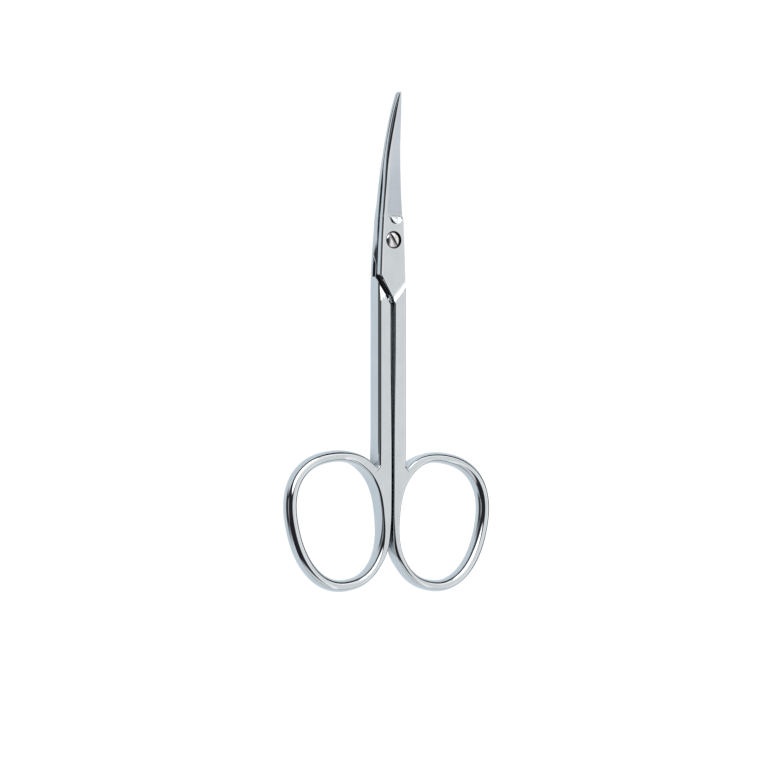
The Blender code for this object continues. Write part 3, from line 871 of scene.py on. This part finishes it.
def steel(name, colour, roughness, grain_scale, grain_depth, smear):
    """Steel with faint cloudiness and with lines that the polishing or grinding leaves."""
    material = bpy.data.materials.new(name)
    material.use_nodes = True
    tree = material.node_tree
    shader = tree.nodes["Principled BSDF"]
    shader.inputs["Metallic"].default_value = 1.0
    start = Value(tree, None)
    place = start.take(start.node("ShaderNodeTexCoord"), 3)
    cloud = start.take(start.node("ShaderNodeTexNoise", None, Vector=place,
                                  Scale=cloud_scale, Detail=3.0, Roughness=0.6))
    stretched = start.take(start.node("ShaderNodeMapping", None, Vector=place, Scale=smear))
    grain = start.take(start.node("ShaderNodeTexNoise", None, Vector=stretched,
                                  Scale=grain_scale, Detail=4.0, Roughness=0.7))
    dark = tuple(channel * dark_tint for channel in colour[:3]) + (1.0,)
    tint = (cloud * cloud_share + grain * grain_share).between(*tint_fades).mix(dark, colour)
    tree.links.new(tint.socket, shader.inputs["Base Color"])
    rough = roughness * (0.75 + 0.3 * cloud + 0.2 * grain)
    tree.links.new(rough.socket, shader.inputs["Roughness"])
    bump = start.node("ShaderNodeBump", None, Strength=grain_depth, Distance=grain_height,
                      Height=grain)
    tree.links.new(bump.outputs[0], shader.inputs["Normal"])
    return material


plated = steel("plated_steel", (0.6, 0.63, 0.65, 1.0), roughness=0.06, grain_scale=900.0,
               grain_depth=0.1, smear=(1.0, 0.08, 1.0))
ground = steel("ground_steel", (0.48, 0.515, 0.56, 1.0), roughness=0.2, grain_scale=1500.0,
               grain_depth=0.3, smear=(0.12, 1.0, 1.0))
# Near-black steel for the cut faces of the holes and shoulders: painted shade, far darker than
# the steel's own colour
painted_shade_material = steel("painted_shade_steel", (0.12, 0.12, 0.13, 1.0), roughness=0.35, grain_scale=2500.0,
              grain_depth=0.3, smear=(1.0, 1.0, 1.0))
finishes = (plated, ground, painted_shade_material)


# The two halves
# The rear half lies below, turned over about the long axis, so its blade curves the same way
# as the front one's. The front half carries the head's seat and the right-hand ring.
rear = machined_half("rear_half_forged", left_forging, finishes)
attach(rear, "rear_half")
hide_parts("rear_half")

front = machined_half("front_half_forged", right_forging, finishes)
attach(front, "front_half")
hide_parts("front_half")


# Pivot screw
# A turned steel screw with a low domed head and a sawn slot. Its head is sunk just below the
# front plate's face, and its end is threaded into the rear plate and flush with it.
head_radius = 1.38 * MM
head_rim = 0.05 * MM
head_rim_drop = 0.03 * MM
head_top = plate_top - 0.3 * MM
head_seat = plate_top - 0.68 * MM
dome_height = 0.28 * MM
dome_steps = 14
shaft_radius = 0.95 * MM
tail = -plate_top + 0.05 * MM
tail_chamfer = 0.15 * MM
slot_half_width = 0.32 * MM
slot_floor = head_top + dome_height - 0.42 * MM
slot_turn = math.radians(-57.0)
sawn_finish = 1

profile = [(0.0, head_top + dome_height)]
for step in range(1, dome_steps + 1):
    radius = (head_radius - head_rim) * step / dome_steps
    profile.append((radius, head_top + dome_height * (1.0 - (radius / head_radius) ** 2)))
profile += [(head_radius, head_top - head_rim_drop), (head_radius, head_seat),
            (shaft_radius, head_seat), (shaft_radius, tail + tail_chamfer),
            (shaft_radius - tail_chamfer, tail), (0.0, tail)]
bm = bmesh.new()
rings = []
for radius, height in profile:
    if radius == 0.0:
        rings.append([bm.verts.new((0.0, 0.0, height))] * round_steps)
    else:
        rings.append([bm.verts.new((x, y, height)) for x, y in circle(radius)])
for above, below in zip(rings, rings[1:]):
    for i in range(round_steps):
        j = (i + 1) % round_steps
        bm.faces.new(list(dict.fromkeys((above[i], above[j], below[j], below[i]))))
screw = made_object(bm, "pivot_screw_turned")
reach = head_radius + overrun
saw = closed_prism("slot_saw", [(-reach, -slot_half_width), (reach, -slot_half_width),
                                (reach, slot_half_width), (-reach, slot_half_width)],
                   slot_floor, head_top + overrun, Matrix.Rotation(slot_turn, 4, "Z"),
                   sawn_finish)
turned = steel("screw_steel", (0.62, 0.62, 0.61, 1.0), roughness=0.1, grain_scale=1400.0,
               grain_depth=0.15, smear=(1.0, 1.0, 1.0))
sawn = steel("sawn_steel", (0.34, 0.34, 0.39, 1.0), roughness=0.3, grain_scale=2500.0,
             grain_depth=0.3, smear=(1.0, 0.2, 1.0))
screw.data.materials.append(turned)
screw.data.materials.append(sawn)
combine(screw, saw, "DIFFERENCE")
screw.data.transform(Matrix.Translation(pivot))
screw.data.shade_smooth()
screw.data.set_sharp_from_angle(angle=sharp_from)
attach(screw, "rear_half")
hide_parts("pivot_screw")


# Studio
# A white table under a light tent. The camera looks down from the left through the gap
# between two soft boxes, and that gap is what draws the black lines along the polished bars.
white = (1.0, 1.0, 1.0, 1.0)
cool_white = (0.86, 0.94, 1.0, 1.0)
table_grey = (0.8, 0.8, 0.8, 1.0)
table_reach = 2.0
table_drop = 0.02 * MM
table_strength = 1.1
table_dark, table_light = 0.02, 0.9
seen_glow, mirrored_glow = 0.9, 0.95
# In the polished steel the table's glow carries painted shade: it is darkened where something
# stands close to it, as a painted contact shadow, and where the steel sees it at a slant but not
# along its length
painted_shadow_reach = 5.0 * MM
painted_shadow_fades = (0.08, 0.4)
steep_grows, lengthways_grows = (0.48, 0.66), (0.2, 0.5)

floor_mesh = bpy.data.meshes.new("floor")
bm = bmesh.new()
bm.faces.new([bm.verts.new((x * table_reach, y * table_reach, 0.0))
              for x, y in ((-1, -1), (1, -1), (1, 1), (-1, 1))])
bm.to_mesh(floor_mesh)
bm.free()
floor = bpy.data.objects.new("floor", floor_mesh)
floor.location.z = -table_drop
bpy.context.scene.collection.objects.link(floor)
paper = bpy.data.materials.new("white_table")
paper.use_nodes = True
tree = paper.node_tree
tree.nodes.clear()
start = Value(tree, None)
path = start.node("ShaderNodeLightPath")
seen = start.take(path, 0)
glossy = start.take(path, 3)
matt = start.node("ShaderNodeBsdfDiffuse", None, Color=table_grey)
# Ambient occlusion darkens the table's glow close to the object: painted contact shadow, seen
# only in the steel
near = start.take(start.node("ShaderNodeAmbientOcclusion", {"samples": 8},
                             Distance=painted_shadow_reach), 1)
incoming = start.node("ShaderNodeSeparateXYZ", None, Vector=start.take(
    start.node("ShaderNodeNewGeometry"), 4))
lengthways = start.maths("ABSOLUTE", start.take(incoming, 1))
# Darker where the steel sees the table at a slant: painted shade in the reflected table
steep = start.maths("MAXIMUM", start.take(incoming, 2).between(*steep_grows),
                    lengthways.between(*lengthways_grows))
bright = table_strength * start.maths(
    "MAXIMUM", seen, near.between(*painted_shadow_fades) * (table_dark + table_light * steep))
hue = seen.mix(cool_white, white)
glow = start.node("ShaderNodeEmission", None, Color=hue, Strength=bright)
share = start.maths("MAXIMUM", seen * seen_glow, glossy * mirrored_glow)
blend = start.node("ShaderNodeMixShader", None, i0=share)
tree.links.new(matt.outputs[0], blend.inputs[1])
tree.links.new(glow.outputs[0], blend.inputs[2])
output = start.node("ShaderNodeOutputMaterial")
tree.links.new(blend.outputs[0], output.inputs[0])
floor_mesh.materials.append(paper)

# The tent: dx, dy and dz are the parts of a direction to the right, towards the tips and up.
# Each box grows over a range of directions, and is cut off by a horizon that lies higher
# towards the tips
tent_dark = 0.03
right_box_grows = (-0.06, 0.34)
right_box_left, left_strength = (-0.44, -0.3), 0.4
right_box_right, right_strength = (0.6, 0.8), 0.2
left_box_grows, left_box_strength = (0.95, 0.98), 0.6
near_box_grows, near_box_strength = (0.64, 0.8), 0.9
scoop_lamp_towards = (0.54, 0.64, 0.545)
scoop_lamp_grows, scoop_lamp_strength = (0.94, 0.965), 1.55
back_lamp_towards = (-0.3, 0.66, 0.69)
back_lamp_grows, back_lamp_strength = (0.85, 0.89), 2.2
horizon_grows = (0.03, 0.1)
horizon_far, far_height = (0.1, 0.5), 0.3
horizon_right, right_height = (0.1, 0.4), 0.15
dim_tint, dim_fades = (1.0, 0.93, 1.15, 1.0), (0.05, 0.4)

world = bpy.data.worlds.new("light_tent")
bpy.context.scene.world = world
world.use_nodes = True
tree = world.node_tree
tree.nodes.clear()
start = Value(tree, None)
seen = start.take(start.node("ShaderNodeLightPath"), 0)
direction = start.take(start.node("ShaderNodeTexCoord"), 0)
parts = start.node("ShaderNodeSeparateXYZ", None, Vector=direction)
dx, dy, dz = (start.take(parts, i) for i in range(3))


def towards(direction):
    """How near the ray's direction is to the given one."""
    x, y, z = direction
    return x * dx + y * dy + z * dz


right_box = dx.between(*right_box_grows) * (
    1.0 + left_strength * (0.0 - dx).between(*right_box_left)
    + right_strength * dx.between(*right_box_right))
left_box = (0.0 - dx).between(*left_box_grows) * left_box_strength
near_box = (0.0 - dy).between(*near_box_grows) * near_box_strength
scoop_lamp = scoop_lamp_strength * towards(scoop_lamp_towards).between(*scoop_lamp_grows)
back_lamp = back_lamp_strength * towards(back_lamp_towards).between(*back_lamp_grows)
horizon_height = dy.between(*horizon_far) * (
    far_height + right_height * dx.between(*horizon_right))
horizon = (dz - horizon_height).between(*horizon_grows)
boxes = start.maths("MAXIMUM", start.maths("MAXIMUM", right_box, left_box), start.maths(
    "MAXIMUM", near_box, start.maths("MAXIMUM", back_lamp, scoop_lamp)))
strength = start.maths("MAXIMUM", tent_dark + horizon * boxes, seen)
hue = strength.between(*dim_fades).mix(dim_tint, white)
background = start.node("ShaderNodeBackground", None, Color=hue, Strength=strength)
output = start.node("ShaderNodeOutputWorld")
tree.links.new(background.outputs[0], output.inputs[0])

# The camera looks along the photograph's line, with the pivot on the photograph's pixel
photo_pixels = 768
pivot_column, pivot_row = 389.91, 240.3
camera_turn = math.radians(30.0)
camera_tilt = math.radians(-2.6)
camera_distance = 700.0 * MM
field_width = 138.8 * MM
sensor_width = 36.0
pixel = field_width / photo_pixels
c, s = math.cos(camera_turn), math.sin(camera_turn)
ct, st = math.cos(camera_tilt), math.sin(camera_tilt)
turn = Matrix(((1, 0, 0), (0, ct, -st), (0, st, ct))) @ Matrix(
    ((c, 0, s), (0, 1, 0), (-s, 0, c)))
camera_data = bpy.data.cameras.new("camera")
camera = bpy.data.objects.new("camera", camera_data)
bpy.context.scene.collection.objects.link(camera)
middle = photo_pixels / 2
offset = Vector((-(pivot_column - middle) * pixel, (pivot_row - middle) * pixel,
                 camera_distance))
camera.matrix_world = Matrix.Translation(pivot + turn.transposed() @ offset) @ (
    turn.transposed().to_4x4())
camera_data.sensor_width = sensor_width
camera_data.lens = sensor_width * camera_distance / field_width
camera_data.clip_start = 0.01
bpy.context.scene.camera = camera
bpy.context.scene.view_settings.view_transform = "Standard"
